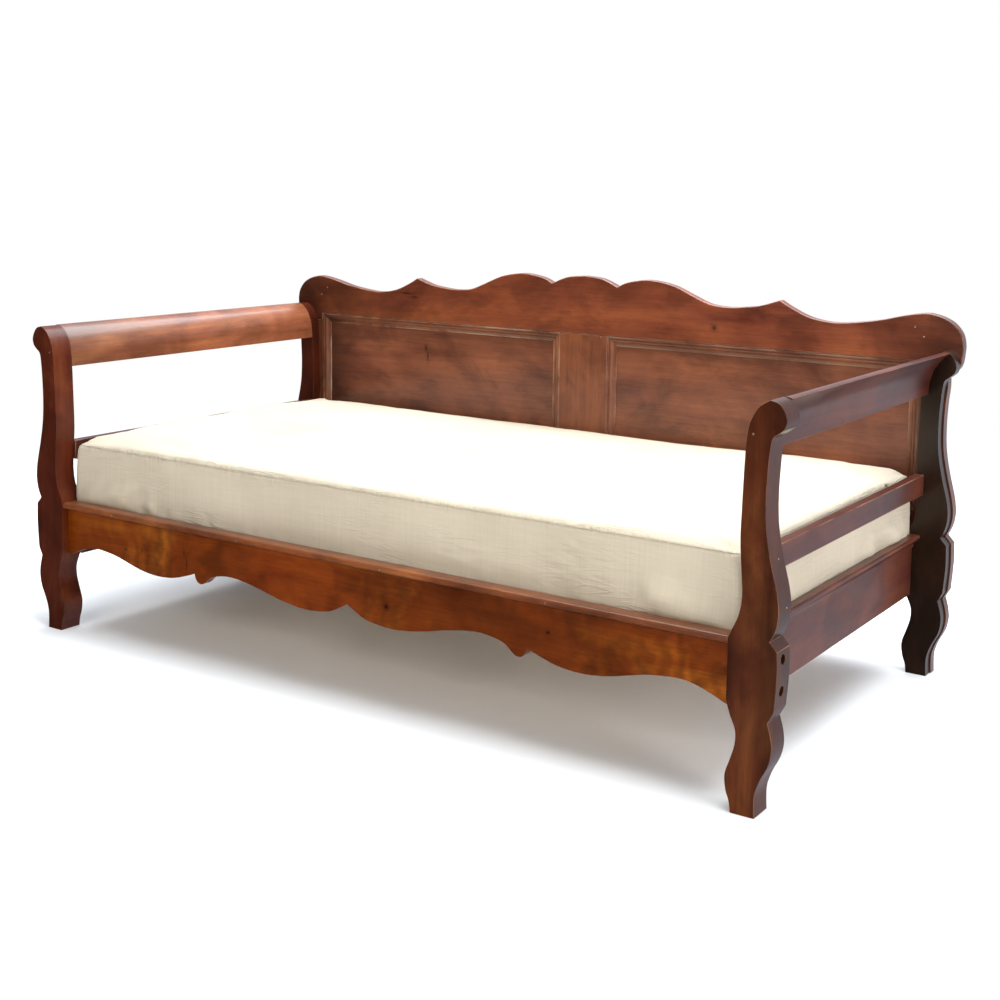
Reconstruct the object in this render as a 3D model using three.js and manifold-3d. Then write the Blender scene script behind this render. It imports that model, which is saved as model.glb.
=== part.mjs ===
// Daybed: two scroll-ended end frames, a scalloped front rail and a panelled back,
// bolted together round a slatted deck that carries a loose mattress.
// Units are millimetres, +Z is up, the front faces -Y, and the origin is on the floor
// in the middle of the object's plan.
import * as THREE from 'three';
import Module from 'manifold-3d';

const wasm = await Module();
wasm.setup();

// ---- overall sizes -------------------------------------------------------------
const GAP = 0.3; // clearance between two pieces that touch
const BETWEEN_POSTS = 1836.6; // inner side of the left post's block to the right one's
const OVERALL_DEPTH = 1029; // front of the front posts to the rear of the back
const BACK_HEIGHT = 904.5; // floor to the top of the crest

// ---- boards of the end frames --------------------------------------------------
const FRONT_POST_THICK = 58;
const REAR_POST_THICK = 30;
const BLOCK_WIDE = 98.5; // width of a post at its square block
const SIDE_RAIL_STEP = 17.7; // outer face of a side rail, out from the block's inner side
const SIDE_RAIL_THICK = 18;
const SIDE_CAP_LAP = 6.4; // how far the side cap laps over the rail's top
const SIDE_CAP_NOSE = 18; // how far its nose stands out past the rail
const SIDE_CAP_HIGH = 15;
const ARM_SLAT_STEP = 38.2; // outer face of an arm slat, out from the block's inner side
const ARM_SLAT_THICK = 22;
const ARM_SLAT_LOW = 435.5;
const ARM_SLAT_WIDE = 49;
const ROLL_FOOT = 674; // underside of the arm roll

// ---- deck ----------------------------------------------------------------------
const DECK_HEIGHT = 324.2; // top of the side rails and of the slats
const RAIL_DEEP = 132.7; // side rails and the back lower rail, below the deck
const SLATS = 10;
const SLAT_WIDE = 70;
const SLAT_THICK = 21;
const SLAT_END_SPACE = 24; // side rail to the nearest slat
const LEDGER_WIDE = 20;
const LEDGER_HIGH = 24;

// ---- front rail ----------------------------------------------------------------
const APRON_SET_BACK = 17;
const APRON_THICK = 22;
const CAP_HIGH = 15.5;
const CAP_RISE = 10.3; // cap top above the deck

// ---- panelled back -------------------------------------------------------------
const BACK_THICK = 25; // crest, stiles, muntin and lower rail
const STILE_STEP = 3; // how far a back stile stands out past the rear post
const OPENING_STEP = 7; // outer end of a panel opening, out from the block's inner side
const LOWER_RAIL_TOP = 390;
const PANEL_DROP = 158; // crest top down to the top of the two openings
const CREST_DROP = 179; // crest top down to its joint with the stiles
const MUNTIN_WIDE = 148;
const PANEL_SET_IN = 12;
const PANEL_THICK = 8;
const MOULDING_WIDE = 26;
const MOULDING_SET_IN = 0.8;

// ---- mattress ------------------------------------------------------------------
const MATTRESS_THICK = 172;
const MATTRESS_ROUND = 26; // roll of the top and bottom edges
const MATTRESS_CORNER = 58; // corner radius in plan
const MATTRESS_EASE = 1.6; // clear space at the ends and the front
const MATTRESS_REAR_EASE = 14; // clear space before the back

// ---- fixings -------------------------------------------------------------------
const BOLT_DROPS = [82.2, 22.2]; // bed bolts, below the deck
const BOLT_RADIUS = 4;
const BOLT_HEAD_RADIUS = 8;
const BOLT_HEAD_HIGH = 5;
const BOLT_IN_APRON = 60;
const COUNTERBORE_RADIUS = 10;
const COUNTERBORE_DEEP = 12;
const NUT_WIDE = 16;
const NUT_THICK = 8;
const NUT_FROM_END = 44;
const SCREWS = [[50, 262], [48, 460], [36, 655]]; // out from the block's inner side, height
const SCREW_RADIUS = 2.5;
const SCREW_HEAD_RADIUS = 5.5;
const SCREW_HEAD_HIGH = 3.5;
const SCREW_LONG = 48;

// ---- planes that follow from the sizes -----------------------------------------
const HALF = BETWEEN_POSTS / 2;
const FRONT = -OVERALL_DEPTH / 2;
const REAR = OVERALL_DEPTH / 2;
const POST_BACK = FRONT + FRONT_POST_THICK;
const BACK_FACE = REAR - BACK_THICK;
const REAR_POST_FACE = BACK_FACE - GAP - REAR_POST_THICK;
const APRON_FACE = FRONT + APRON_SET_BACK;
const APRON_BACK = APRON_FACE + APRON_THICK;
const CAP_TOP = DECK_HEIGHT + CAP_RISE;
const APRON_TOP = CAP_TOP - CAP_HIGH - GAP;
const RAIL_BOTTOM = DECK_HEIGHT - RAIL_DEEP;
const BOLT_HEIGHTS = BOLT_DROPS.map((drop) => DECK_HEIGHT - drop);
const SIDE_RAIL_IN = HALF + SIDE_RAIL_STEP - SIDE_RAIL_THICK;
const LEDGER_HALF = Math.min(HALF, SIDE_RAIL_IN) - GAP;
const LEDGER_TOP = DECK_HEIGHT - SLAT_THICK - GAP;
const PANEL_TOP = BACK_HEIGHT - PANEL_DROP;
const PANEL_FACE = BACK_FACE + PANEL_SET_IN;
const OPENING_END = HALF + OPENING_STEP;
const CURVE_STEPS = 4; // chords between two points of a curve

// ---- looks ---------------------------------------------------------------------
const DARK = { color: 0x4a2413, roughness: 0.34, metalness: 0 };
const RED = { color: 0x6e3520, roughness: 0.36, metalness: 0 };
const GOLDEN = { color: 0x7a3d12, roughness: 0.36, metalness: 0 };
const PINE = { color: 0xb58a5c, roughness: 0.7, metalness: 0 };
const COTTON = { color: 0xd8cfbb, roughness: 0.92, metalness: 0 };
const IRON = { color: 0x4b4640, roughness: 0.45, metalness: 0.9 };

const daybed = new THREE.Group();
daybed.name = 'daybed';

function add(name, geometry, look) {
  const mesh = new THREE.Mesh(geometry, new THREE.MeshStandardMaterial(look));
  mesh.name = name;
  daybed.add(mesh);
}

// ---- boards and lengths --------------------------------------------------------
// A board standing across the bed: an outline in X and Z, thickened along Y.
function board(shape, from, thick) {
  const geometry = new THREE.ExtrudeGeometry(shape, {
    depth: thick,
    bevelEnabled: false,
    curveSegments: CURVE_STEPS,
  });
  geometry.rotateX(Math.PI / 2);
  geometry.translate(0, from + thick, 0);
  return geometry;
}

// A length along X whose section is drawn in Y and Z.
function lengthAlongX(shape, from, to) {
  const geometry = new THREE.ExtrudeGeometry(shape, {
    depth: to - from,
    bevelEnabled: false,
    curveSegments: CURVE_STEPS,
  });
  geometry.rotateX(Math.PI / 2);
  geometry.rotateZ(Math.PI / 2);
  geometry.translate(from, 0, 0);
  return geometry;
}

function block(x0, x1, y0, y1, z0, z1) {
  const geometry = new THREE.BoxGeometry(x1 - x0, y1 - y0, z1 - z0);
  geometry.translate((x0 + x1) / 2, (y0 + y1) / 2, (z0 + z1) / 2);
  return geometry;
}

function pin(radius, from, to, y, z, sides = 20) {
  const geometry = new THREE.CylinderGeometry(radius, radius, Math.abs(to - from), sides);
  geometry.rotateZ(Math.PI / 2);
  geometry.translate((from + to) / 2, y, z);
  return geometry;
}

function polygon(points) {
  return new THREE.Shape(points.map(([a, b]) => new THREE.Vector2(a, b)));
}

function curve(shape, points) {
  shape.splineThru(points.map(([a, b]) => new THREE.Vector2(a, b)));
}

function line(shape, [a, b]) {
  shape.lineTo(a, b);
}

// Outline points are given outwards from the inner side of a post's block.
function onSide(side, points) {
  return points.map(([out, z]) => [side * (HALF + out), z]);
}

// ---- cutting one closed body with others ---------------------------------------
function solid(geometry) {
  const plain = geometry.index ? geometry.toNonIndexed() : geometry;
  const position = plain.getAttribute('position');
  const numbers = new Map();
  const vertices = [];
  const corners = [];
  for (let i = 0; i < position.count; i += 1) {
    const point = [position.getX(i), position.getY(i), position.getZ(i)];
    const key = point.map((value) => Math.round(value * 1e4)).join('_');
    if (!numbers.has(key)) {
      numbers.set(key, numbers.size);
      vertices.push(...point);
    }
    corners.push(numbers.get(key));
  }
  const triangles = [];
  for (let i = 0; i < corners.length; i += 3) {
    const [a, b, c] = corners.slice(i, i + 3);
    if (a !== b && b !== c && c !== a) triangles.push(a, b, c);
  }
  const mesh = new wasm.Mesh({
    numProp: 3,
    vertProperties: new Float32Array(vertices),
    triVerts: new Uint32Array(triangles),
  });
  return new wasm.Manifold(mesh);
}

function fromSolid(body) {
  const mesh = body.getMesh();
  const geometry = new THREE.BufferGeometry();
  geometry.setAttribute('position', new THREE.BufferAttribute(mesh.vertProperties, 3));
  geometry.setIndex(new THREE.BufferAttribute(mesh.triVerts, 1));
  const plain = geometry.toNonIndexed();
  plain.computeVertexNormals();
  return plain;
}

function cut(geometry, tools) {
  return fromSolid(tools.reduce((body, tool) => body.subtract(solid(tool)), solid(geometry)));
}

function common(a, b) {
  return fromSolid(solid(a).intersect(solid(b)));
}

// ---- post outline --------------------------------------------------------------
const POST_TOP = [67.5, 777];
const SCROLL_AND_WAIST = [[83.5, 772.6], [94.5, 760], [100.6, 743.5], [96.5, 728],
  [86.2, 718.4], [75.5, 709.5], [71.2, 692], [67.6, 652], [65.7, 597], [68.5, 540], [79.2, 484],
  [93.4, 428], [97.6, 391], [93, 361], [82.4, 337.6]];
const BLOCK_SHOULDER = [97.2, 321];
const BLOCK_OUT = [[BLOCK_WIDE, 271], [94.5, 208]];
const BLOCK_NOTCH = [83.3, 186.2];
const FOOT_OUT = [[91, 160], [93.3, 134], [87.4, 106], [72.7, 76], [63.6, 48], [62.4, 26],
  [63.7, 0]];
const FOOT_HEEL = [15.3, 0];
const FOOT_IN = [[11.9, 22], [4.6, 43], [2.1, 72], [11.3, 102], [20, 132], [20, 160], [8, 189],
  [0, 214]];
const BLOCK_IN = [0, 330];
const ARM_IN = [[6.9, 347.5], [20, 378.5], [25.4, 417], [21.8, 468], [18.3, 520], [19.3, 580],
  [21.9, 668], [25.1, 713], [31.5, 739], [46.5, 763.5], POST_TOP];

function postShape(side) {
  const shape = new THREE.Shape();
  shape.moveTo(...onSide(side, [POST_TOP])[0]);
  curve(shape, onSide(side, SCROLL_AND_WAIST));
  line(shape, onSide(side, [BLOCK_SHOULDER])[0]);
  curve(shape, onSide(side, BLOCK_OUT));
  line(shape, onSide(side, [BLOCK_NOTCH])[0]);
  curve(shape, onSide(side, FOOT_OUT));
  line(shape, onSide(side, [FOOT_HEEL])[0]);
  curve(shape, onSide(side, FOOT_IN));
  line(shape, onSide(side, [BLOCK_IN])[0]);
  curve(shape, onSide(side, ARM_IN));
  return shape;
}

// ---- end frames ----------------------------------------------------------------
const BOLT_Y = APRON_FACE + APRON_THICK / 2;
const BORE_FLOOR = HALF + BLOCK_WIDE - COUNTERBORE_DEEP;
const PAST = 20; // how far a cutting tool runs past the face that it opens

function boltHoles(side) {
  const inner = HALF - BOLT_IN_APRON - GAP;
  const outer = HALF + BLOCK_WIDE + PAST;
  return BOLT_HEIGHTS.flatMap((z) => [
    pin(BOLT_RADIUS + GAP, side * inner, side * outer, BOLT_Y, z),
    pin(COUNTERBORE_RADIUS, side * BORE_FLOOR, side * outer, BOLT_Y, z),
  ]);
}

function frontPost(side) {
  return cut(board(postShape(side), FRONT, FRONT_POST_THICK), boltHoles(side));
}

function rearPost(side) {
  const whole = board(postShape(side), REAR_POST_FACE, REAR_POST_THICK);
  return cut(whole, SCREWS.map(([out, z]) => screw(side * (HALF + out), z, GAP)));
}

function sideRail(side) {
  const from = POST_BACK + GAP;
  const to = REAR_POST_FACE - GAP;
  const faces = [side * SIDE_RAIL_IN, side * (HALF + SIDE_RAIL_STEP)];
  return block(Math.min(...faces), Math.max(...faces), from, to, RAIL_BOTTOM, DECK_HEIGHT);
}

// The cap laps on to the rail's top and has a round nose over a hollow.
function sideCap(side) {
  const low = DECK_HEIGHT + GAP;
  const high = low + SIDE_CAP_HIGH;
  const face = SIDE_RAIL_STEP + GAP;
  const nose = SIDE_RAIL_STEP + SIDE_CAP_NOSE;
  const shape = new THREE.Shape();
  shape.moveTo(...onSide(side, [[SIDE_RAIL_STEP - SIDE_CAP_LAP, high]])[0]);
  line(shape, onSide(side, [[nose - 6, high]])[0]);
  curve(shape, onSide(side, [[nose - 1.5, high - 2], [nose, high - 6], [nose - 1.5, high - 10]]));
  line(shape, onSide(side, [[nose - 6, low + 1]])[0]);
  curve(shape, onSide(side, [[face + 5, low - 5], [face + 2.5, low - 11], [face + 2, low - 17]]));
  line(shape, onSide(side, [[face, low - 17]])[0]);
  line(shape, onSide(side, [[face, low]])[0]);
  line(shape, onSide(side, [[SIDE_RAIL_STEP - SIDE_CAP_LAP, low]])[0]);
  return board(shape, POST_BACK + GAP, REAR_POST_FACE - POST_BACK - 2 * GAP);
}

function armSlat(side) {
  const faces = [side * (HALF + ARM_SLAT_STEP - ARM_SLAT_THICK), side * (HALF + ARM_SLAT_STEP)];
  const from = POST_BACK + GAP;
  const to = REAR_POST_FACE - GAP;
  const high = ARM_SLAT_LOW + ARM_SLAT_WIDE;
  return block(Math.min(...faces), Math.max(...faces), from, to, ARM_SLAT_LOW, high);
}

const ROLL_HEEL = [22.8, ROLL_FOOT];
const ROLL_IN = [[23.8, 695], [26.8, 718], [34.5, 741], [48.5, 761.8], [66, 774.8], [77.5, 777],
  [85.5, 774]];
const ROLL_OUT = [[73, 763], [60.5, 748.5], [50.5, 734], [44.2, 718], [40.4, 698],
  [38.2, ROLL_FOOT]];

function armRoll(side) {
  const shape = new THREE.Shape();
  shape.moveTo(...onSide(side, [ROLL_HEEL])[0]);
  curve(shape, onSide(side, ROLL_IN));
  curve(shape, onSide(side, ROLL_OUT));
  return board(shape, POST_BACK + GAP, REAR_POST_FACE - POST_BACK - 2 * GAP);
}

// ---- front rail ----------------------------------------------------------------
// Lower edge from the centre cusp outwards: share of the half length, drop below the deck.
const CENTRE_CUSP = [0, 96.2];
const INNER_LOBE = [[0.024, 107.7], [0.053, 120.2], [0.093, 126.7], [0.147, 128.7], [0.218, 120.2],
  [0.294, 104.7], [0.359, 94.9], [0.405, 94.7], [0.449, 103.2], [0.474, 119.7], [0.486, 125.7],
  [0.498, 124.7], [0.508, 116.2], [0.5125, 104.2]];
const OUTER_LOBE = [[0.545, 114.7], [0.593, 126.7], [0.65, 130.7], [0.713, 125.2], [0.8, 105.7],
  [0.85, 98.7], [0.893, 96.9], [0.938, 105.2], [1, 127.7]];

function alongFront(side, points) {
  return points.map(([share, drop]) => [side * share * (HALF - GAP), DECK_HEIGHT - drop]);
}

function apron() {
  const shape = new THREE.Shape();
  const toCentre = [...INNER_LOBE].reverse().slice(1);
  const toDrop = [...OUTER_LOBE].reverse().slice(1);
  shape.moveTo(...alongFront(1, [CENTRE_CUSP])[0]);
  curve(shape, alongFront(1, INNER_LOBE));
  curve(shape, alongFront(1, OUTER_LOBE));
  line(shape, [HALF - GAP, APRON_TOP]);
  line(shape, [GAP - HALF, APRON_TOP]);
  line(shape, alongFront(-1, OUTER_LOBE.slice(-1))[0]);
  curve(shape, alongFront(-1, [...toDrop, INNER_LOBE[INNER_LOBE.length - 1]]));
  curve(shape, alongFront(-1, [...toCentre, CENTRE_CUSP]));
  const tools = [1, -1].flatMap((side) => [...boltHoles(side), ...nutSlots(side)]);
  return cut(board(shape, APRON_FACE, APRON_THICK), tools);
}

function nutSlots(side) {
  const x = side * (HALF - NUT_FROM_END);
  const half = NUT_THICK / 2 + GAP;
  const wide = NUT_WIDE / 2 + GAP;
  return BOLT_HEIGHTS.map((z) => (
    block(x - half, x + half, BOLT_Y - wide, APRON_BACK + PAST, z - wide, z + wide)
  ));
}

function frontCap() {
  const low = CAP_TOP - CAP_HIGH;
  const shape = new THREE.Shape();
  shape.moveTo(APRON_BACK, low);
  line(shape, [APRON_BACK, CAP_TOP]);
  line(shape, [FRONT + 8, CAP_TOP]);
  curve(shape, [[FRONT + 3.5, CAP_TOP - 1.2], [FRONT + 0.8, CAP_TOP - 4.5], [FRONT, CAP_TOP - 8.5],
    [FRONT + 1.4, CAP_TOP - 13], [FRONT + 5.5, low]]);
  return lengthAlongX(shape, GAP - HALF, HALF - GAP);
}

// ---- panelled back -------------------------------------------------------------
// Top edge: share of the half length, drop below the top of the crest.
const ARCH = [[0, 0], [0.051, 4], [0.084, 13.5], [0.1105, 25]];
const LOBE = [[0.135, 14], [0.168, 6.5], [0.218, 2], [0.29, 12.5], [0.36, 38.5], [0.409, 55],
  [0.468, 59.5], [0.523, 55], [0.561, 49.5], [0.6155, 33.5]];
const SWEEP = [[0.644, 48.5], [0.693, 68.5], [0.74, 78], [0.785, 79.8], [0.84, 74.5], [0.8935, 66.5],
  [0.96, 51.5]];
// The ear at each end: outwards from the post's block, drop below the top of the crest.
const EAR = [[12, 43.5], [37, 46], [59, 52.5], [81, 65], [99, 87], [105.6, 112], [104.8, 136],
  [101.5, 158], [93, 172], [75, CREST_DROP]];

function crestEdge(side) {
  const onBack = (points) => points.map(([share, drop]) => [side * share * HALF, BACK_HEIGHT - drop]);
  const ear = onSide(side, EAR.map(([out, drop]) => [out, BACK_HEIGHT - drop]));
  return { arch: onBack(ARCH), lobe: onBack(LOBE), sweep: [...onBack(SWEEP), ...ear] };
}

function crest() {
  const right = crestEdge(1);
  const left = crestEdge(-1);
  const foot = BACK_HEIGHT - CREST_DROP;
  const shape = new THREE.Shape();
  shape.moveTo(0, BACK_HEIGHT);
  curve(shape, right.arch.slice(1));
  curve(shape, right.lobe);
  curve(shape, right.sweep);
  line(shape, [OPENING_END, foot]);
  line(shape, [OPENING_END, PANEL_TOP]);
  line(shape, [-OPENING_END, PANEL_TOP]);
  line(shape, [-OPENING_END, foot]);
  line(shape, left.sweep[left.sweep.length - 1]);
  curve(shape, [...left.sweep.reverse().slice(1), left.lobe[left.lobe.length - 1]]);
  curve(shape, [...left.lobe.reverse().slice(1), left.arch[left.arch.length - 1]]);
  curve(shape, left.arch.reverse().slice(1));
  return board(shape, BACK_FACE, BACK_THICK);
}

function stile(side) {
  const stepOut = (points) => onSide(side, points.map(([out, z]) => [out + STILE_STEP, z]));
  const top = BACK_HEIGHT - CREST_DROP - GAP;
  const waist = SCROLL_AND_WAIST.slice(6);
  const shape = new THREE.Shape();
  shape.moveTo(side * OPENING_END, top);
  line(shape, stepOut([[waist[0][0] - STILE_STEP / 2, top]])[0]);
  curve(shape, stepOut(waist));
  line(shape, stepOut([BLOCK_SHOULDER])[0]);
  curve(shape, stepOut(BLOCK_OUT));
  line(shape, stepOut([BLOCK_NOTCH])[0]);
  curve(shape, stepOut(FOOT_OUT));
  line(shape, onSide(side, [FOOT_HEEL])[0]);
  curve(shape, onSide(side, FOOT_IN.slice(0, -1)));
  const whole = board(shape, BACK_FACE, BACK_THICK);
  return cut(whole, SCREWS.map(([out, z]) => screw(side * (HALF + out), z, GAP)));
}

function lowerRail() {
  const end = OPENING_END - GAP;
  return block(-end, end, BACK_FACE, REAR, RAIL_BOTTOM, LOWER_RAIL_TOP);
}

function muntin() {
  const half = MUNTIN_WIDE / 2;
  return block(-half, half, BACK_FACE, REAR, LOWER_RAIL_TOP + GAP, PANEL_TOP - GAP);
}

// The opening on one side, as [nearer the centre, nearer the post, low, high].
function opening(side) {
  const ends = [side * (MUNTIN_WIDE / 2 + GAP), side * (OPENING_END - GAP)];
  return [Math.min(...ends), Math.max(...ends), LOWER_RAIL_TOP + GAP, PANEL_TOP - GAP];
}

function panel(side) {
  const [x0, x1, z0, z1] = opening(side);
  return block(x0, x1, PANEL_FACE, PANEL_FACE + PANEL_THICK, z0, z1);
}

// Section of a moulding: distance from the frame, depth behind the frame's face.
const OGEE = [[0, MOULDING_SET_IN], [4.5, MOULDING_SET_IN], [5, 3.8], [6.8, 3.8], [7.6, 2.4],
  [9.6, 1.9], [12, 2.4], [14.2, 4.3], [16.5, 7.1], [19.2, 8.8], [22, 9.2], [MOULDING_WIDE, 9.6],
  [MOULDING_WIDE, PANEL_SET_IN - GAP], [0, PANEL_SET_IN - GAP]];

function mouldings(side) {
  const [x0, x1, z0, z1] = opening(side);
  const w = MOULDING_WIDE;
  const m = GAP; // half of the mitre's own clearance, with the corner's
  const flat = [
    ['top', polygon([[x0 + m, z1], [x1 - m, z1], [x1 - m - w, z1 - w], [x0 + m + w, z1 - w]])],
    ['bottom', polygon([[x0 + m, z0], [x0 + m + w, z0 + w], [x1 - m - w, z0 + w], [x1 - m, z0]])],
    ['start', polygon([[x0, z0 + m], [x0, z1 - m], [x0 + w, z1 - m - w], [x0 + w, z0 + m + w]])],
    ['end', polygon([[x1, z0 + m], [x1 - w, z0 + m + w], [x1 - w, z1 - m - w], [x1, z1 - m]])],
  ];
  const across = (edge, turn) => OGEE.map(([out, deep]) => [BACK_FACE + deep, edge + turn * out]);
  const upright = (edge, turn) => OGEE.map(([out, deep]) => [edge + turn * out, BACK_FACE + deep]);
  const bars = [
    lengthAlongX(polygon(across(z1, -1)), x0, x1),
    lengthAlongX(polygon(across(z0, 1)), x0, x1),
    uprightLength(polygon(upright(x0, 1)), z0, z1),
    uprightLength(polygon(upright(x1, -1)), z0, z1),
  ];
  return flat.map(([place, shape], i) => {
    return [place, common(board(shape, BACK_FACE, PANEL_SET_IN), bars[i])];
  });
}

// A length along Z whose section is drawn in X and Y.
function uprightLength(shape, from, to) {
  const geometry = new THREE.ExtrudeGeometry(shape, { depth: to - from, bevelEnabled: false });
  geometry.translate(0, 0, from);
  return geometry;
}

// ---- deck and mattress ---------------------------------------------------------
function ledger(from) {
  const low = LEDGER_TOP - LEDGER_HIGH;
  return block(-LEDGER_HALF, LEDGER_HALF, from, from + LEDGER_WIDE, low, LEDGER_TOP);
}

function slat(index) {
  const first = -SIDE_RAIL_IN + SLAT_END_SPACE + SLAT_WIDE / 2;
  const x = first + (index * -2 * first) / (SLATS - 1);
  const low = DECK_HEIGHT - SLAT_THICK;
  const half = SLAT_WIDE / 2;
  return block(x - half, x + half, APRON_BACK + GAP, BACK_FACE - GAP, low, DECK_HEIGHT);
}

// A rounded plan, thickened and rolled over at both edges.
function mattress() {
  const half = HALF + SIDE_RAIL_STEP - SIDE_CAP_LAP - MATTRESS_EASE;
  const front = APRON_BACK + MATTRESS_EASE;
  const rear = BACK_FACE - MATTRESS_REAR_EASE;
  const roll = MATTRESS_ROUND;
  const x = half - roll;
  const [y0, y1] = [front + roll, rear - roll];
  const r = MATTRESS_CORNER - roll;
  const shape = new THREE.Shape();
  shape.moveTo(-x + r, y0);
  line(shape, [x - r, y0]);
  shape.absarc(x - r, y0 + r, r, -Math.PI / 2, 0, false);
  line(shape, [x, y1 - r]);
  shape.absarc(x - r, y1 - r, r, 0, Math.PI / 2, false);
  line(shape, [-x + r, y1]);
  shape.absarc(-x + r, y1 - r, r, Math.PI / 2, Math.PI, false);
  line(shape, [-x, y0 + r]);
  shape.absarc(-x + r, y0 + r, r, Math.PI, Math.PI * 1.5, false);
  const geometry = new THREE.ExtrudeGeometry(shape, {
    depth: MATTRESS_THICK - 2 * roll,
    bevelEnabled: true,
    bevelSize: roll,
    bevelThickness: roll,
    bevelSegments: 5,
    curveSegments: 5,
  });
  geometry.translate(0, 0, DECK_HEIGHT + GAP + roll);
  return geometry;
}

// ---- fixings -------------------------------------------------------------------
function bolt(side, z) {
  const head = BORE_FLOOR + GAP;
  const tip = HALF - BOLT_IN_APRON;
  const profile = [[0, 0], [BOLT_RADIUS, 0], [BOLT_RADIUS, head - tip], [BOLT_HEAD_RADIUS, head - tip],
    [BOLT_HEAD_RADIUS, head - tip + BOLT_HEAD_HIGH - 1.5],
    [BOLT_HEAD_RADIUS - 3, head - tip + BOLT_HEAD_HIGH - 0.3], [0, head - tip + BOLT_HEAD_HIGH]];
  const geometry = new THREE.LatheGeometry(profile.map(([r, h]) => new THREE.Vector2(r, h)), 16);
  geometry.rotateZ(-side * Math.PI / 2);
  geometry.translate(side * tip, BOLT_Y, z);
  return geometry;
}

function nut(side, z) {
  const x = side * (HALF - NUT_FROM_END);
  const [t, w] = [NUT_THICK / 2, NUT_WIDE / 2];
  const whole = block(x - t, x + t, BOLT_Y - w, BOLT_Y + w, z - w, z + w);
  return cut(whole, [pin(BOLT_RADIUS + GAP, x - NUT_THICK, x + NUT_THICK, BOLT_Y, z)]);
}

// A countersunk screw driven from behind, or the hole for it when ease is given.
function screw(x, z, ease = 0) {
  const top = ease > 0 ? PAST : 0;
  const profile = [[0, -top], [SCREW_HEAD_RADIUS + ease, -top], [SCREW_HEAD_RADIUS + ease, 0.6 + ease],
    [SCREW_RADIUS + ease, SCREW_HEAD_HIGH + ease], [SCREW_RADIUS + ease, SCREW_LONG - 4 + ease],
    [0, SCREW_LONG + ease]];
  const geometry = new THREE.LatheGeometry(profile.map(([r, h]) => new THREE.Vector2(r, h)), 14);
  geometry.rotateX(Math.PI);
  geometry.translate(x, REAR - 0.2, z);
  return geometry;
}

// ---- assembly ------------------------------------------------------------------
for (const [end, side] of [['left', -1], ['right', 1]]) {
  add(`front_post_${end}`, frontPost(side), DARK);
  add(`rear_post_${end}`, rearPost(side), DARK);
  add(`arm_roll_${end}`, armRoll(side), RED);
  add(`arm_slat_${end}`, armSlat(side), RED);
  add(`side_rail_${end}`, sideRail(side), RED);
  add(`side_cap_${end}`, sideCap(side), RED);
  add(`back_stile_${end}`, stile(side), DARK);
  add(`back_panel_${end}`, panel(side), RED);
  for (const [place, geometry] of mouldings(side)) {
    add(`moulding_${end}_${place}`, geometry, RED);
  }
  BOLT_HEIGHTS.forEach((z, i) => {
    add(`bed_bolt_${end}_${i + 1}`, bolt(side, z), IRON);
    add(`bolt_nut_${end}_${i + 1}`, nut(side, z), IRON);
  });
  SCREWS.forEach(([out, z], i) => {
    add(`back_screw_${end}_${i + 1}`, screw(side * (HALF + out), z), IRON);
  });
}
add('front_apron', apron(), GOLDEN);
add('front_cap', frontCap(), GOLDEN);
add('crest', crest(), RED);
add('back_lower_rail', lowerRail(), RED);
add('back_muntin', muntin(), RED);
add('ledger_front', ledger(APRON_BACK + GAP), PINE);
add('ledger_back', ledger(BACK_FACE - GAP - LEDGER_WIDE), PINE);
for (let index = 0; index < SLATS; index += 1) {
  add(`slat_${index + 1}`, slat(index), PINE);
}
add('mattress', mattress(), COTTON);

export default daybed;
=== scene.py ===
# A mahogany daybed: two scroll-ended end frames, a scalloped front rail, a panelled back with
# a shaped crest, a slatted deck, and a loose cotton mattress. Lengths are in metres.
import math

import bmesh
import bpy
import numpy as np
from mathutils import Matrix, Vector, noise
from mathutils.bvhtree import BVHTree


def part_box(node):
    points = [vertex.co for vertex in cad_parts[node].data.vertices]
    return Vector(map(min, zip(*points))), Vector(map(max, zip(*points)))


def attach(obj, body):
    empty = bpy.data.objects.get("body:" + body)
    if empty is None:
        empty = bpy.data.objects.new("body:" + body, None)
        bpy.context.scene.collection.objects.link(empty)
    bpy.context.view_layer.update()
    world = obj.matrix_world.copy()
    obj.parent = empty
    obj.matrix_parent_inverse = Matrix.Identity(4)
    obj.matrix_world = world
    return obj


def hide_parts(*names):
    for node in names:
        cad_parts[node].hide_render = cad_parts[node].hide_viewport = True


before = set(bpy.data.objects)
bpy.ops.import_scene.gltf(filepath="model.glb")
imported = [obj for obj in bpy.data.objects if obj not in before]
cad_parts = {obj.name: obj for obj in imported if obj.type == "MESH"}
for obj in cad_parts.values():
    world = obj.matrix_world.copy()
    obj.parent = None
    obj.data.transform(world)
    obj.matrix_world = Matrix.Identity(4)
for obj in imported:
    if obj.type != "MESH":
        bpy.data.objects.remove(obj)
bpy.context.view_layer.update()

# ---- The room ----------------------------------------------------------------------
# A pale floor that runs out into a white surround, with large soft lights overhead, in front
# and at the right. The camera stands off the front right corner and looks slightly down.
camera = bpy.data.objects.new("camera", bpy.data.cameras.new("camera"))
bpy.context.collection.objects.link(camera)
camera.matrix_world = (
    Matrix.Translation((2.0310, -2.9202, 1.1570))
    @ Matrix.Rotation(math.radians(34.02), 4, "Z")
    @ Matrix.Rotation(math.radians(90 - 6.82), 4, "X")
    @ Matrix.Rotation(math.radians(0.78), 4, "Z")
)
camera.data.sensor_width = 36
camera.data.lens = 53.02
camera.data.shift_y = -0.1436
bpy.context.scene.camera = camera
bpy.context.scene.view_settings.view_transform = "Standard"


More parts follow.
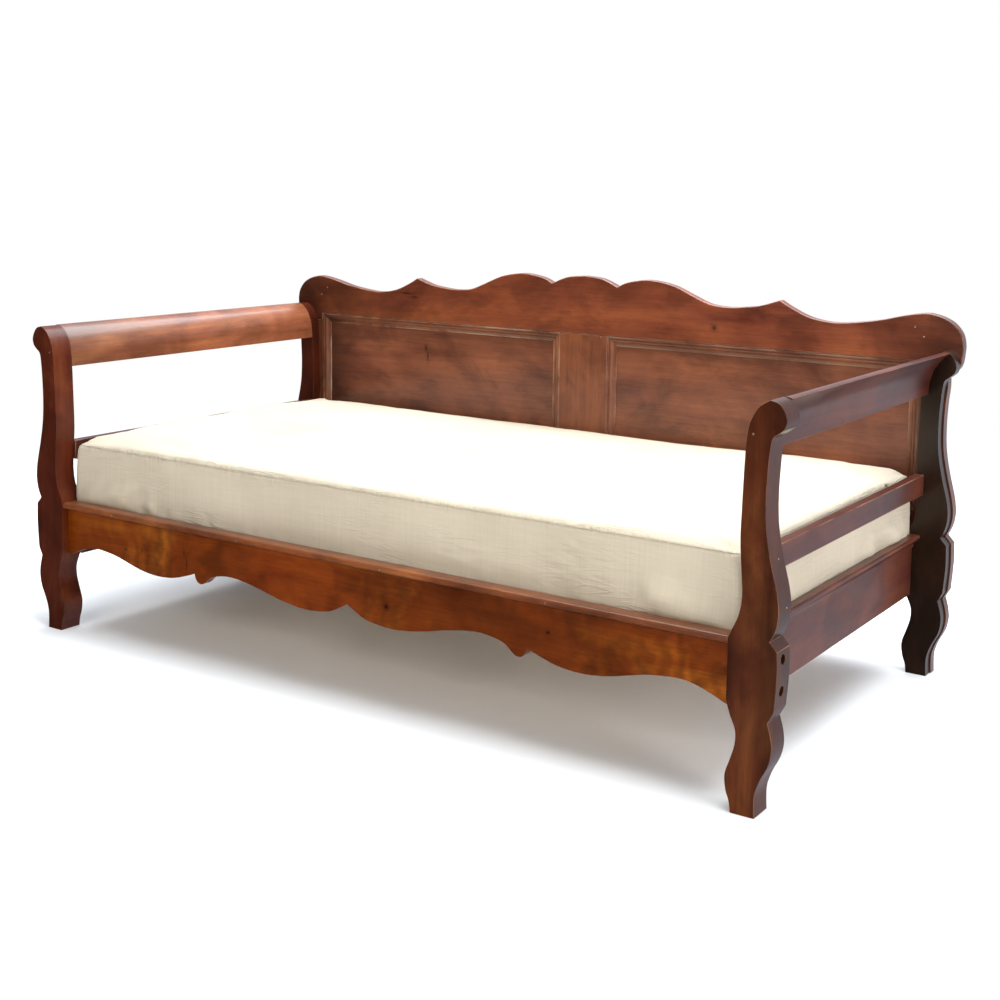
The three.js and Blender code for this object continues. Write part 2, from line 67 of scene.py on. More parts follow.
def add_node(tree, kind, sockets=None, **settings):
    """Adds a node, sets its settings, and fills its sockets with values or with links."""
    made = tree.nodes.new(kind)
    for setting, value in settings.items():
        setattr(made, setting, value)
    for socket, value in (sockets or {}).items():
        if isinstance(value, bpy.types.NodeSocket):
            tree.links.new(value, made.inputs[socket])
        else:
            made.inputs[socket].default_value = value
    return made


def soft_light(name, place, aim, size, power, colour):
    lamp = bpy.data.lights.new(name, "AREA")
    lamp.shape = "RECTANGLE"
    lamp.size, lamp.size_y = size
    lamp.energy = power
    lamp.color = colour
    holder = bpy.data.objects.new(name, lamp)
    bpy.context.collection.objects.link(holder)
    holder.location = place
    holder.rotation_euler = (Vector(aim) - Vector(place)).to_track_quat("-Z", "Y").to_euler()


soft_light("overhead_light", (0.3, 0.4, 3.3), (0.0, 0.0, 0.4), (4.5, 3.0), 390, (0.88, 0.95, 1.0))
soft_light("front_light", (0.9, -5.4, 2.9), (-0.2, -0.3, 0.3), (3.0, 2.0), 140, (1.0, 0.95, 0.88))
soft_light("right_light", (5.4, -1.7, 1.3), (0.9, 0.0, 0.4), (2.0, 2.0), 155, (1.0, 0.97, 0.97))

surround = bpy.data.worlds.new("surround")
surround.use_nodes = True
sky = surround.node_tree
sky.nodes.clear()
ways = add_node(sky, "ShaderNodeTexCoord")
facing_back = add_node(
    sky, "ShaderNodeVectorMath",
    {0: ways.outputs["Generated"], 1: Vector((0.34, 0.86, 0.38)).normalized()},
    operation="DOT_PRODUCT",
)
brightness = add_node(
    sky, "ShaderNodeMapRange",
    {"Value": facing_back.outputs["Value"], "From Min": -0.35, "From Max": 0.75,
     "To Min": 0.04, "To Max": 0.95},
)
light_on_things = add_node(
    sky, "ShaderNodeBackground",
    {"Color": (0.86, 0.89, 1.0, 1), "Strength": brightness.outputs["Result"]},
)
white_behind = add_node(sky, "ShaderNodeBackground", {"Color": (1, 1, 1, 1), "Strength": 1.0})
seen = add_node(sky, "ShaderNodeLightPath")
either = add_node(
    sky, "ShaderNodeMixShader",
    {0: seen.outputs["Is Camera Ray"], 1: light_on_things.outputs[0], 2: white_behind.outputs[0]},
)
add_node(sky, "ShaderNodeOutputWorld", {"Surface": either.outputs[0]})
bpy.context.scene.world = surround

floor_mesh = bpy.data.meshes.new("floor")
FLOOR_REACH = 30
floor_mesh.from_pydata(
    [(x * FLOOR_REACH, y * FLOOR_REACH, 0) for x, y in ((-1, -1), (1, -1), (1, 1), (-1, 1))],
    [], [(0, 1, 2, 3)],
)
floor = bpy.data.objects.new("floor", floor_mesh)
bpy.context.collection.objects.link(floor)
floor_paint = bpy.data.materials.new("floor_paint")
floor_paint.use_nodes = True
floor_tree = floor_paint.node_tree
floor_tree.nodes.clear()
from_middle = add_node(
    floor_tree, "ShaderNodeVectorMath",
    {0: add_node(floor_tree, "ShaderNodeTexCoord").outputs["Object"]}, operation="LENGTH",
)
fading = add_node(
    floor_tree, "ShaderNodeMapRange",
    {"Value": from_middle.outputs["Value"], "From Min": 2.2, "From Max": 4.5},
    interpolation_type="SMOOTHSTEP",
)
painted = add_node(floor_tree, "ShaderNodeBsdfDiffuse", {"Color": (0.88, 0.88, 0.88, 1)})
glowing = add_node(floor_tree, "ShaderNodeEmission", {"Color": (1, 1, 1, 1), "Strength": 1.0})
fades_out = add_node(
    floor_tree, "ShaderNodeMixShader",
    {0: fading.outputs["Result"], 1: painted.outputs[0], 2: glowing.outputs[0]},
)
add_node(floor_tree, "ShaderNodeOutputMaterial", {"Surface": fades_out.outputs[0]})
floor_mesh.materials.append(floor_paint)
floor.visible_glossy = False

# ---- Posts of the end frames -------------------------------------------------------
# Four thick boards sawn to the same scrolled outline, the front pair twice as thick as the
# rear pair. Red-brown mahogany under a satin varnish, arrises rounded over and rubbed.
GRAIN_TURN = {"X": (0, 0, 0), "Y": (0, 0, -math.pi / 2), "Z": (0, math.pi / 2, 0)}


def stretched(tree, vector, along, across):
    """A pattern's coordinates, longer along the grain than across it."""
    return add_node(
        tree, "ShaderNodeMapping", {"Vector": vector, "Scale": (along, across, across)}
    ).outputs["Vector"]


def sum_of(tree, a, b, share=1.0):
    """a plus share times b."""
    return add_node(
        tree, "ShaderNodeMath", {0: b, 1: share, 2: a}, operation="MULTIPLY_ADD"
    ).outputs["Value"]


def mixed(tree, amount, under, over, how="MIX"):
    made = add_node(tree, "ShaderNodeMix", data_type="RGBA", blend_type=how)
    for socket, value in ((0, amount), (6, under), (7, over)):
        if isinstance(value, bpy.types.NodeSocket):
            tree.links.new(value, made.inputs[socket])
        else:
            made.inputs[socket].default_value = value
    return made.outputs[2]


def ramp(tree, value, stops):
    """Colours, or plain numbers, at places along a value from 0 to 1."""
    made = add_node(tree, "ShaderNodeValToRGB", {"Fac": value})
    marks = made.color_ramp.elements
    while len(marks) < len(stops):
        marks.new(0.5)
    for mark, (place, colour) in zip(marks, stops):
        mark.position = place
        mark.color = (*colour, 1) if isinstance(colour, tuple) else (colour, colour, colour, 1)
    return made.outputs["Color"]


def mahogany(name, grain, dark, middle, light, figure=0.0, marks=(), painted_light_and_shade=(), gloss=1.0):
    """Varnished mahogany whose grain runs along one axis. Figure is how far it curls. Marks
    are knots and checks, as (x, z, half width, half height). Painted light and shade paints
    shade and light into the colour along an axis, as (axis, from, to, brightness at from,
    brightness at to). Gloss is the varnish left on it."""
    made = bpy.data.materials.new(name)
    made.use_nodes = True
    tree = made.node_tree
    shader = tree.nodes["Principled BSDF"]
    place = add_node(tree, "ShaderNodeTexCoord").outputs["Object"]
    plank = add_node(
        tree, "ShaderNodeMapping", {"Vector": place, "Rotation": GRAIN_TURN[grain]}
    ).outputs["Vector"]

    def grain_noise(along, across, detail, distortion=0.0):
        return add_node(
            tree, "ShaderNodeTexNoise",
            {"Vector": stretched(tree, plank, along, across), "Scale": 1.0, "Detail": detail,
             "Roughness": 0.58, "Distortion": distortion},
        ).outputs["Fac"]

    streak = grain_noise(1.3, 10, 5.0, 0.8)
    cloud = grain_noise(2.6, 3.6, 5.0, 1.4)
    smudge = grain_noise(6.0, 9.0, 5.0, 0.8)
    vein = grain_noise(3.5, 150, 3.0, 0.3)
    fibre = grain_noise(26, 420, 2.0)
    curl = add_node(
        tree, "ShaderNodeTexWave",
        {"Vector": plank, "Scale": 6.5, "Distortion": 10.0, "Detail": 3.0,
         "Detail Scale": 1.4, "Detail Roughness": 0.6},
        wave_type="BANDS", bands_direction="X", wave_profile="SIN",
    ).outputs["Fac"]

    both = add_node(tree, "ShaderNodeMath", {0: streak, 1: cloud}, operation="ADD").outputs["Value"]
    tone = add_node(tree, "ShaderNodeMath", {0: both, 1: 0.5}, operation="MULTIPLY").outputs["Value"]
    colour = ramp(tree, tone, [(0.33, dark), (0.50, middle), (0.66, light)])
    curled = mixed(tree, 1.0, colour, ramp(tree, curl, [(0.0, 1.0 - figure), (1.0, 1.0)]), "MULTIPLY")
    colour = mixed(tree, ramp(tree, cloud, [(0.44, 0.0), (0.60, 1.0)]), colour, curled)
    colour = mixed(tree, 0.55, colour, ramp(tree, smudge, [(0.40, 0.55), (0.54, 1.10)]), "MULTIPLY")
    colour = mixed(tree, 0.40, colour, ramp(tree, vein, [(0.34, 0.68), (0.62, 1.06)]), "MULTIPLY")
    colour = mixed(tree, 0.45, colour, ramp(tree, fibre, [(0.30, 0.60), (0.55, 1.0)]), "MULTIPLY")

    apart = add_node(tree, "ShaderNodeSeparateXYZ", {"Vector": place})
    # Painted light and shade: the colour is made darker or lighter along an axis, standing in for the shade
    # and light that fall on the piece.
    for axis, start, stop, bright_start, bright_stop in painted_light_and_shade:
        wandering = sum_of(tree, apart.outputs[axis], cloud, 0.35 * (stop - start))
        bright = add_node(
            tree, "ShaderNodeMapRange",
            {"Value": wandering, "From Min": start + 0.17 * (stop - start),
             "From Max": stop + 0.17 * (stop - start), "To Min": bright_start, "To Max": bright_stop},
            interpolation_type="SMOOTHSTEP",
        ).outputs["Result"]
        colour = mixed(tree, 1.0, colour, bright, "MULTIPLY")
    for x, z, wide, high in marks:
        centred = add_node(
            tree, "ShaderNodeMapping",
            {"Vector": place, "Location": (-x / wide, 0, -z / high), "Scale": (1 / wide, 0, 1 / high)},
        ).outputs["Vector"]
        from_mark = add_node(
            tree, "ShaderNodeVectorMath", {0: centred}, operation="LENGTH"
        ).outputs["Value"]
        ragged = sum_of(tree, from_mark, streak, 1.2)
        scaled = add_node(tree, "ShaderNodeMath", {0: ragged, 1: 0.25}, operation="MULTIPLY")
        shade = ramp(
            tree, scaled.outputs[0], [(0.22, 0.16), (0.36, 0.50), (0.50, 0.80), (0.80, 1.0)]
        )
        colour = mixed(tree, 1.0, colour, shade, "MULTIPLY")

    arris = add_node(tree, "ShaderNodeAttribute", attribute_name="arris").outputs["Fac"]
    patches = ramp(
        tree,
        add_node(tree, "ShaderNodeTexNoise", {"Vector": place, "Scale": 16.0, "Detail": 4.0}).outputs["Fac"],
        [(0.42, 0.08), (0.64, 0.75)],
    )
    rubbed = add_node(tree, "ShaderNodeMath", {0: arris, 1: patches}, operation="MULTIPLY").outputs["Value"]
    colour = mixed(tree, rubbed, colour, (0.28, 0.13, 0.075, 1))
    dusty = add_node(tree, "ShaderNodeAttribute", attribute_name="dust").outputs["Fac"]
    lying = ramp(tree, smudge, [(0.43, 0.05), (0.60, 0.9)])
    dusted = add_node(tree, "ShaderNodeMath", {0: dusty, 1: lying}, operation="MULTIPLY").outputs["Value"]
    colour = mixed(tree, dusted, colour, (0.38, 0.29, 0.21, 1))
    tree.links.new(colour, shader.inputs["Base Color"])

    dullness = add_node(
        tree, "ShaderNodeMapRange",
        {"Value": cloud, "From Min": 0.3, "From Max": 0.7, "To Min": 0.28, "To Max": 0.40},
    ).outputs["Result"]
    dullness = sum_of(tree, sum_of(tree, dullness, rubbed, 0.14), dusted, 0.4)
    tree.links.new(dullness, shader.inputs["Roughness"])
    shader.inputs["Specular IOR Level"].default_value = 0.30 * gloss
    shader.inputs["Coat Weight"].default_value = 0.30 * gloss
    shader.inputs["Coat Roughness"].default_value = 0.17

    waves = add_node(
        tree, "ShaderNodeTexNoise", {"Vector": place, "Scale": 9.0, "Detail": 3.0}
    ).outputs["Fac"]
    uneven = add_node(
        tree, "ShaderNodeBump", {"Height": waves, "Strength": 0.20, "Distance": 0.004}
    ).outputs["Normal"]
    pores = add_node(
        tree, "ShaderNodeBump", {"Height": fibre, "Normal": uneven, "Strength": 0.16, "Distance": 0.0006}
    ).outputs["Normal"]
    tree.links.new(pores, shader.inputs["Normal"])
    return made


def own_piece(name, mesh, material, body, replaced=()):
    """Puts a finished mesh in the scene as a piece of the daybed."""
    piece = bpy.data.objects.new(name, mesh)
    bpy.context.collection.objects.link(piece)
    if material is not None:
        mesh.materials.clear()
        mesh.materials.append(material)
    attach(piece, body)
    if replaced:
        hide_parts(*replaced)
    return piece


def plain_mesh(piece):
    """The mesh that a piece has once its modifiers are worked out; the piece itself goes."""
    graph = bpy.context.evaluated_depsgraph_get()
    mesh = bpy.data.meshes.new_from_object(
        piece.evaluated_get(graph), preserve_all_data_layers=True, depsgraph=graph
    )
    bpy.data.objects.remove(piece)
    return mesh


def eased(node, radius, sharp=28.0):
    """A copy of a CAD solid with its arrises rounded over. "arris" is 1 along a rounding."""
    work = bmesh.new()
    work.from_mesh(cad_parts[node].data)
    bmesh.ops.remove_doubles(work, verts=work.verts, dist=2e-5)
    bmesh.ops.dissolve_limit(
        work, angle_limit=math.radians(0.5), verts=work.verts[:], edges=work.edges[:]
    )
    arrises = [
        edge for edge in work.edges
        if len(edge.link_faces) == 2 and edge.calc_face_angle(0) > math.radians(sharp)
    ]
    rounded = bmesh.ops.bevel(
        work, geom=arrises, offset=radius, offset_type="OFFSET", segments=3,
        profile=0.5, affect="EDGES", clamp_overlap=True,
    )
    strips = set(rounded["faces"])
    layer = work.verts.layers.float.new("arris")
    for point in work.verts:
        point[layer] = float(all(face in strips for face in point.link_faces))
    mesh = bpy.data.meshes.new(node + "_wood")
    work.to_mesh(mesh)
    work.free()
    mesh.shade_smooth()
    mesh.set_sharp_from_angle(angle=math.radians(40))
    held = bpy.data.objects.new(node, mesh)
    bpy.context.collection.objects.link(held)
    weighted = held.modifiers.new("weighted", "WEIGHTED_NORMAL")
    weighted.keep_sharp = True
    weighted.weight = 100
    return plain_mesh(held)


POST_ARRIS = 0.0032
post_woods = {
    "front_post_right": mahogany(
        "golden_post_wood", "Z", (0.034, 0.007, 0.002), (0.085, 0.018, 0.004), (0.160, 0.048, 0.007),
        # Painted shade and light on the post: darker towards its outer and inner edges and its head, with
        # painted darker and lighter bands up its height.
        painted_light_and_shade=(("X", 0.962, 1.012, 1.0, 0.55), ("Z", 0.60, 0.78, 1.0, 0.75), ("Z", 0.10, 0.30, 0.95, 0.72),
              ("X", 0.918, 0.936, 0.6, 1.0), ("Z", 0.30, 0.42, 1.0, 1.25)),
        gloss=0.45,
    ),
    "front_post_left": mahogany(
        "dark_post_wood", "Z", (0.028, 0.005, 0.002), (0.062, 0.010, 0.003), (0.105, 0.024, 0.006),
        gloss=0.45,
    ),
}
post_woods["rear_post_left"] = post_woods["front_post_left"]
# The rear right post gets a much darker copy of the post wood: painted shade for the shade that falls on it.
post_woods["rear_post_right"] = mahogany(
    "shaded_post_wood", "Z", (0.009, 0.004, 0.002), (0.019, 0.008, 0.004), (0.040, 0.014, 0.006), gloss=0.7
)
for node, wood in post_woods.items():
    own_piece(node + "_wood", eased(node, POST_ARRIS), wood, "frame", [node])

# ---- Lengths between the posts -----------------------------------------------------
# On each end frame a rounded arm rests along the top, a narrow slat runs level with the
# mattress, and a deep side rail carries a nosed capping. Mahogany, grain along the length.
ARM_ARRIS = 0.0016
RAIL_ARRIS = 0.0022
rail_wood = mahogany(
    "rail_wood", "Y", (0.034, 0.008, 0.006), (0.068, 0.018, 0.012), (0.118, 0.034, 0.017), gloss=0.45
)
arm_woods = {
    "left": mahogany(
        "orange_arm_wood", "Y", (0.10, 0.028, 0.012), (0.185, 0.055, 0.022), (0.31, 0.110, 0.040),
        # Painted shade on the left arm, darker towards its front end.
        painted_light_and_shade=(("Y", -0.46, -0.10, 0.50, 1.0),),
    ),
    "right": rail_wood,
}
for end in ("left", "right"):
    for part, radius in (
        ("arm_roll", ARM_ARRIS), ("arm_slat", RAIL_ARRIS), ("side_rail", RAIL_ARRIS), ("side_cap", ARM_ARRIS),
    ):
        node = f"{part}_{end}"
        wood = arm_woods[end] if part == "arm_roll" else rail_wood
        own_piece(node + "_wood", eased(node, radius), wood, "frame", [node])

# ---- Front rail --------------------------------------------------------------------
# One long board with a scalloped lower edge under a bull-nosed capping. The board is a
# golden-brown cut of mahogany with a curly figure and a few small knots and checks.
apron_wood = mahogany(
    "apron_wood", "X", (0.075, 0.011, 0.001), (0.165, 0.030, 0.001), (0.335, 0.092, 0.004),
    figure=0.34, gloss=0.2,
    marks=((0.109, 0.242, 0.006, 0.005), (-0.505, 0.266, 0.0012, 0.008), (-0.497, 0.240, 0.0014, 0.012),
           (-0.706, 0.244, 0.003, 0.0025), (-0.649, 0.248, 0.002, 0.0035), (0.52, 0.262, 0.004, 0.003)),
    # Painted light and shade along the front rail: a painted lighter stretch left of the middle and a painted
    # darker right part.
    painted_light_and_shade=(("X", -0.42, -0.22, 0.92, 1.35), ("X", -0.08, 0.10, 1.0, 0.62), ("X", 0.62, 0.88, 0.9, 1.15)),
)
cap_wood = mahogany(
    "cap_wood", "X", (0.072, 0.018, 0.007), (0.150, 0.040, 0.011), (0.28, 0.085, 0.021)
)
APRON_ARRIS = 0.0018
FRONT_CAP_ARRIS = 0.0022
for node, radius, wood in (
    ("front_apron", APRON_ARRIS, apron_wood), ("front_cap", FRONT_CAP_ARRIS, cap_wood),
):
    own_piece(node + "_wood", eased(node, radius), wood, "frame", [node])

# ---- Back --------------------------------------------------------------------------
# A frame of 25 mm boards: a wide crest cut in lobes and sweeps, two stiles that follow the
# posts, a muntin and a lower rail, round two flat panels held by ogee mouldings.
BOARD_ARRIS = 0.0012
CREST_ARRIS = 0.003
STILE_ARRIS = 0.0025
PANEL_ARRIS = 0.0006
MOULDING_ARRIS = 0.0005
DUST_FADES = 0.0024
ACROSS = {"top": 2, "bottom": 2, "start": 0, "end": 0}


def dusted(mesh, across, strength):
    """Marks where dust and old polish have settled: along both edges of a moulding's face."""
    places = [point.co[across] for point in mesh.vertices]
    low, high = min(places), max(places)
    settled = [strength * math.exp(-min(place - low, high - place) / DUST_FADES) for place in places]
    mesh.attributes.new("dust", "FLOAT", "POINT").data.foreach_set("value", settled)
    return mesh


crest_wood = mahogany(
    "crest_wood", "X", (0.078, 0.015, 0.007), (0.158, 0.036, 0.013), (0.26, 0.066, 0.019),
    marks=((0.388, 0.790, 0.007, 0.006), (-0.603, 0.825, 0.016, 0.0025), (-0.575, 0.815, 0.010, 0.002)),
    # Painted shade at both ends of the crest, beside the posts.
    painted_light_and_shade=(("X", -1.02, -0.45, 0.34, 1.0), ("X", 0.86, 1.02, 1.0, 0.42)),
)
stile_wood = mahogany(
    "stile_wood", "Z", (0.095, 0.025, 0.013), (0.19, 0.055, 0.021), (0.29, 0.090, 0.028),
    # Painted shade on the stiles, darker towards both ends of the back beside the posts.
    painted_light_and_shade=(("X", -0.95, -0.88, 0.60, 1.0), ("X", 0.86, 0.95, 1.0, 0.45)),
)
panel_wood = mahogany(
    "panel_wood", "X", (0.082, 0.023, 0.013), (0.172, 0.052, 0.024), (0.28, 0.088, 0.035),
    marks=((-0.540, 0.668, 0.0035, 0.007), (-0.533, 0.645, 0.0022, 0.010)),
    # Painted shade on the panels, darker towards the left end and towards the top.
    painted_light_and_shade=(("X", -0.92, -0.74, 0.38, 1.0), ("Z", 0.64, 0.74, 1.0, 0.80)),
)
own_piece("crest_wood", eased("crest", CREST_ARRIS), crest_wood, "frame", ["crest"])
own_piece("back_lower_rail_wood", eased("back_lower_rail", BOARD_ARRIS), crest_wood, "frame",
          ["back_lower_rail"])
own_piece("back_muntin_wood", eased("back_muntin", BOARD_ARRIS), stile_wood, "frame",
          ["back_muntin"])
for end in ("left", "right"):
    own_piece(f"back_stile_{end}_wood", eased(f"back_stile_{end}", STILE_ARRIS), stile_wood, "frame",
              [f"back_stile_{end}"])
    own_piece(f"back_panel_{end}_wood", eased(f"back_panel_{end}", PANEL_ARRIS), panel_wood, "frame",
              [f"back_panel_{end}"])
    for place, across in ACROSS.items():
        node = f"moulding_{end}_{place}"
        wood = panel_wood if across == 2 else stile_wood
        moulding = dusted(eased(node, MOULDING_ARRIS), across, 0.9 if end == "left" else 0.45)
        own_piece(node + "_wood", moulding, wood, "frame", [node])

# ---- Deck --------------------------------------------------------------------------
# Ten sawn softwood slats lie across two ledgers that are screwed inside the front and back
# rails. Bare pine, rough from the saw, with its growth rings showing as long lines.
def sawn_pine(name, grain):
    made = bpy.data.materials.new(name)
    made.use_nodes = True
    tree = made.node_tree
    shader = tree.nodes["Principled BSDF"]
    place = add_node(tree, "ShaderNodeTexCoord").outputs["Object"]
    plank = add_node(
        tree, "ShaderNodeMapping", {"Vector": place, "Rotation": GRAIN_TURN[grain]}
    ).outputs["Vector"]
    rings = add_node(
        tree, "ShaderNodeTexWave",
        {"Vector": stretched(tree, plank, 0.25, 1.0), "Scale": 14.0, "Distortion": 5.0,
         "Detail": 3.0, "Detail Scale": 0.8},
        wave_type="BANDS", bands_direction="Y",
    ).outputs["Fac"]
    fuzz = add_node(
        tree, "ShaderNodeTexNoise",
        {"Vector": stretched(tree, plank, 20, 300), "Scale": 1.0, "Detail": 3.0},
    ).outputs["Fac"]
    colour = ramp(
        tree, rings, [(0.0, (0.36, 0.20, 0.085)), (0.7, (0.55, 0.36, 0.17)), (1.0, (0.62, 0.43, 0.22))]
    )
    colour = mixed(tree, 0.5, colour, ramp(tree, fuzz, [(0.3, 0.6), (0.7, 1.0)]), "MULTIPLY")
    tree.links.new(colour, shader.inputs["Base Color"])
    shader.inputs["Roughness"].default_value = 0.78
    sawn = add_node(tree, "ShaderNodeBump", {"Height": fuzz, "Strength": 0.5, "Distance": 0.0006})
    tree.links.new(sawn.outputs["Normal"], shader.inputs["Normal"])
    return made


LEDGER_ARRIS = 0.001
SLAT_ARRIS = 0.0015
ledger_pine = sawn_pine("ledger_pine", "X")
slat_pine = sawn_pine("slat_pine", "Y")
for node in ("ledger_front", "ledger_back"):
    own_piece(node + "_wood", eased(node, LEDGER_ARRIS), ledger_pine, "frame", [node])
for node in sorted(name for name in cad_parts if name.startswith("slat_")):
    own_piece(node + "_wood", eased(node, SLAT_ARRIS), slat_pine, "frame", [node])

# ---- Bed bolts, nuts and screws ----------------------------------------------------
# Two bed bolts at each front corner, sunk in the post's edge and drawn up on nuts let into
# the front rail; countersunk screws hold the back's stiles to the rear posts. Oiled iron.
iron = bpy.data.materials.new("oiled_iron")
iron.use_nodes = True
iron_tree = iron.node_tree
iron_shader = iron_tree.nodes["Principled BSDF"]
iron_shader.inputs["Metallic"].default_value = 0.9
spots = add_node(
    iron_tree, "ShaderNodeTexNoise",
    {"Vector": add_node(iron_tree, "ShaderNodeTexCoord").outputs["Object"], "Scale": 260.0, "Detail": 4.0},
).outputs["Fac"]
iron_tree.links.new(
    ramp(
        iron_tree, spots,
        [(0.35, (0.05, 0.045, 0.04)), (0.6, (0.14, 0.12, 0.10)), (0.72, (0.16, 0.07, 0.03))],
    ),
    iron_shader.inputs["Base Color"],
)
iron_tree.links.new(
    ramp(iron_tree, spots, [(0.3, 0.34), (0.7, 0.6)]), iron_shader.inputs["Roughness"]
)
IRON_ARRIS = 0.0005
fixings = [n for n in sorted(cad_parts) if n.startswith(("bed_bolt", "bolt_nut", "back_screw"))]
for node in fixings:
    own_piece(node + "_iron", eased(node, IRON_ARRIS), iron, "frame", [node])

# ---- Sunk nail heads ---------------------------------------------------------------
# Wooden joints are pinned with small round nails, punched just below the surface and left
# with a pale ring of old filler: along the front capping, through the post heads, at the
# slats' tenons, near the ends of the crest and at the top of the muntin.
NAIL_FLAT = 0.0008
NAIL_DEPTH = 0.0002
nail_geometry = bpy.data.node_groups.new("sunk_nails", "GeometryNodeTree")
nail_geometry.interface.new_socket("Geometry", in_out="INPUT", socket_type="NodeSocketGeometry")
nail_sockets = {}
for label, kind, value in (
    ("Nail radius", "NodeSocketFloat", 0.0016), ("Ring thickness", "NodeSocketFloat", 0.0004),
    ("Ring finish", "NodeSocketMaterial", None), ("Nail finish", "NodeSocketMaterial", None),
):
    socket = nail_geometry.interface.new_socket(label, in_out="INPUT", socket_type=kind)
    if value is not None:
        socket.default_value = value
    nail_sockets[label] = socket.identifier
nail_geometry.interface.new_socket("Geometry", in_out="OUTPUT", socket_type="NodeSocketGeometry")
given = add_node(nail_geometry, "NodeGroupInput")
ring = add_node(
    nail_geometry, "GeometryNodeCurveToMesh",
    {"Curve": add_node(
        nail_geometry, "GeometryNodeCurvePrimitiveCircle",
        {"Radius": given.outputs["Nail radius"], "Resolution": 16}, mode="RADIUS").outputs["Curve"],
     "Profile Curve": add_node(
        nail_geometry, "GeometryNodeCurvePrimitiveCircle",
        {"Radius": given.outputs["Ring thickness"], "Resolution": 6}, mode="RADIUS").outputs["Curve"]},
)
ring_finished = add_node(
    nail_geometry, "GeometryNodeSetMaterial",
    {"Geometry": ring.outputs["Mesh"], "Material": given.outputs["Ring finish"]},
)
nail = add_node(
    nail_geometry, "GeometryNodeMeshCone",
    {"Vertices": 16, "Radius Top": NAIL_FLAT, "Radius Bottom": given.outputs["Nail radius"],
     "Depth": NAIL_DEPTH},
)
nail_finished = add_node(
    nail_geometry, "GeometryNodeSetMaterial",
    {"Geometry": nail.outputs["Mesh"], "Material": given.outputs["Nail finish"]},
)
head = add_node(nail_geometry, "GeometryNodeJoinGeometry")
nail_geometry.links.new(ring_finished.outputs[0], head.inputs[0])
nail_geometry.links.new(nail_finished.outputs[0], head.inputs[0])
facing = add_node(
    nail_geometry, "GeometryNodeInputNamedAttribute", {"Name": "facing"}, data_type="FLOAT_VECTOR"
)
turned = add_node(
    nail_geometry, "FunctionNodeAlignRotationToVector", {"Vector": facing.outputs["Attribute"]}, axis="Z"
)
placed = add_node(
    nail_geometry, "GeometryNodeInstanceOnPoints",
    {"Points": given.outputs["Geometry"], "Instance": head.outputs[0], "Rotation": turned.outputs[0]},
)
add_node(
    nail_geometry, "NodeGroupOutput",
    {"Geometry": add_node(
        nail_geometry, "GeometryNodeRealizeInstances", {"Geometry": placed.outputs[0]}).outputs[0]},
)

shots = [("front_cap", (x, -1, 0.3262), (0, 1, 0)) for x in (-0.737, -0.317, 0.103, 0.523)]
for side, end in ((-1, "left"), (1, "right")):
    shots += [
        (f"front_post_{end}", (side * 0.955, -1, 0.713), (0, 1, 0)),
        (f"front_post_{end}", (side * 1.2, -0.480, 0.484), (-side, 0, 0)),
        (f"front_post_{end}", (side * 1.2, -0.478, 0.396), (-side, 0, 0)),
        ("crest", (side * 0.908, 0, 0.827), (0, 1, 0)),
        ("crest", (side * 0.930, 0, 0.805), (0, 1, 0)),
    ]
shots.append(("back_muntin", (0.055, 0, 0.742), (0, 1, 0)))


def surface_of(nodes):
    """A tree for finding where a line or a point meets the outside of some CAD solids."""
    points, faces = [], []
    for node in nodes:
        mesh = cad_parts[node].data
        faces += [[len(points) + i for i in face.vertices] for face in mesh.polygons]
        points += [point.co.copy() for point in mesh.vertices]
    return BVHTree.FromPolygons(points, faces)


nailed = bpy.data.meshes.new("nailed")
hits = [surface_of([node]).ray_cast(Vector(start), Vector(way)) for node, start, way in shots]
nailed.from_pydata([hit[0] for hit in hits], [], [])
facings = nailed.attributes.new("facing", "FLOAT_VECTOR", "POINT")
facings.data.foreach_set("vector", [part for hit in hits for part in hit[1]])
filler = bpy.data.materials.new("old_filler")
filler.use_nodes = True
filler_shader = filler.node_tree.nodes["Principled BSDF"]
filler_grit = add_node(
    filler.node_tree, "ShaderNodeTexNoise",
    {"Vector": add_node(filler.node_tree, "ShaderNodeTexCoord").outputs["Object"], "Scale": 900.0},
).outputs["Fac"]
filler.node_tree.links.new(
    ramp(filler.node_tree, filler_grit, [(0.3, (0.16, 0.08, 0.05)), (0.7, (0.46, 0.32, 0.24))]),
    filler_shader.inputs["Base Color"],
)
filler_shader.inputs["Roughness"].default_value = 0.7
nails = bpy.data.objects.new("nails", nailed)
bpy.context.collection.objects.link(nails)
grown = nails.modifiers.new("grown", "NODES")
grown.node_group = nail_geometry
grown[nail_sockets["Ring finish"]] = filler
grown[nail_sockets["Nail finish"]] = iron
own_piece("sunk_nail_heads", plain_mesh(nails), None, "frame")

# ---- Mattress ----------------------------------------------------------------------
# A firm fibre-filled mattress in an undyed cotton cover. The cover is sewn from a top, a
# bottom and one long border, and a thin welt runs round the border just below the top edge.
sack_low, sack_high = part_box("mattress")
SPACING = 0.0125
CORNER = 0.028
TOP_ROLL = 0.017
LOW_ROLL = 0.008


def rounded_off(along, down, reach):
    """Two distances inside a square corner, moved onto a quarter circle of that reach."""
    a, b = reach - along, reach - down
    inside = (a > 0) & (b > 0)
    length = np.hypot(a, b)
    share = np.where(inside, np.maximum(a, b) / np.maximum(length, 1e-9), 1.0)
    return reach - a * share, reach - b * share


